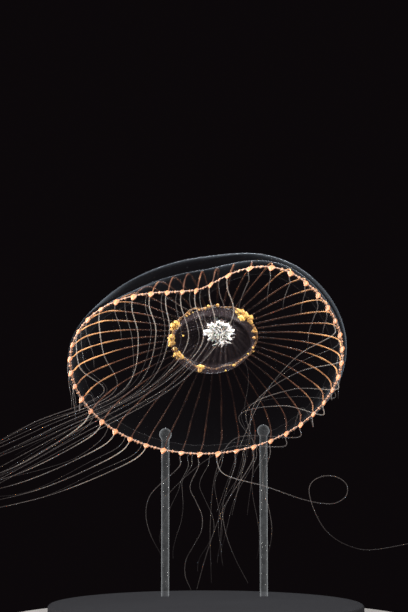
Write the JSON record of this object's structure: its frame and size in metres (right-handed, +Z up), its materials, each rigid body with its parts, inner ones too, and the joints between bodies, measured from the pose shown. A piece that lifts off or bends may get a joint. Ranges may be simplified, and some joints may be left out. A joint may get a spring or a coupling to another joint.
{
  "type": "crystal jellyfish",
  "caption": "Still life-size model of a clear saucer-shaped jellyfish with radial canals, frilled mouth and fine trailing tentacles, held by two rods on a round base.",
  "frame": {"origin": "centre of the flat underside of the display stand's base", "axes": "+Z up; -Y towards the side the jellyfish's mouth faces and is seen from; +X to the viewer's right, away from the side most tentacles are swept to"},
  "size_m": [0.1889, 0.116, 0.1315],
  "materials": {
    "jelly": "clear, wet and glossy",
    "canal": "satin, pale gold",
    "stomach": "translucent, wet",
    "lips": "satin, cream white",
    "margin": "satin, cream to orange",
    "tentacle": "wet, whitish",
    "acrylic": "clear, polished",
    "base": "satin black"
  },
  "bodies": {
    "root": {"bell": "jelly", "margin_1": "margin", "margin_10": "margin", "margin_11": "margin", "margin_2": "margin", "margin_3": "margin", "margin_4": "margin", "margin_5": "margin", "margin_6": "margin", "margin_7": "margin", "margin_8": "margin", "margin_9": "margin", "mouth_lips": "lips", "radial_canals_lower_left": "canal", "radial_canals_lower_right": "canal", "radial_canals_upper_left": "canal", "radial_canals_upper_right": "canal", "stand_base": "base", "stand_rod_left": "acrylic", "stand_rod_right": "acrylic", "stomach": "stomach", "tentacle_10_a": "tentacle", "tentacle_10_b": "tentacle", "tentacle_11_a": "tentacle", "tentacle_11_b": "tentacle", "tentacle_12_a": "tentacle", "tentacle_12_b": "tentacle", "tentacle_13_a": "tentacle", "tentacle_13_b": "tentacle", "tentacle_14_a": "tentacle", "tentacle_14_b": "tentacle", "tentacle_15_a": "tentacle", "tentacle_15_b": "tentacle", "tentacle_16_a": "tentacle", "tentacle_18_a": "tentacle", "tentacle_1_a": "tentacle", "tentacle_20_a": "tentacle", "tentacle_26_a": "tentacle", "tentacle_27_a": "tentacle", "tentacle_28_a": "tentacle", "tentacle_29_a": "tentacle", "tentacle_30_a": "tentacle", "tentacle_32_a": "tentacle", "tentacle_33_a": "tentacle", "tentacle_34_a": "tentacle", "tentacle_34_b": "tentacle", "tentacle_34_c": "tentacle", "tentacle_34_d": "tentacle", "tentacle_35_a": "tentacle", "tentacle_36_a": "tentacle", "tentacle_37_a": "tentacle", "tentacle_38_a": "tentacle", "tentacle_39_a": "tentacle", "tentacle_3_a": "tentacle", "tentacle_41_a": "tentacle", "tentacle_43_a": "tentacle", "velum": "jelly"}
  },
  "joints": []
}
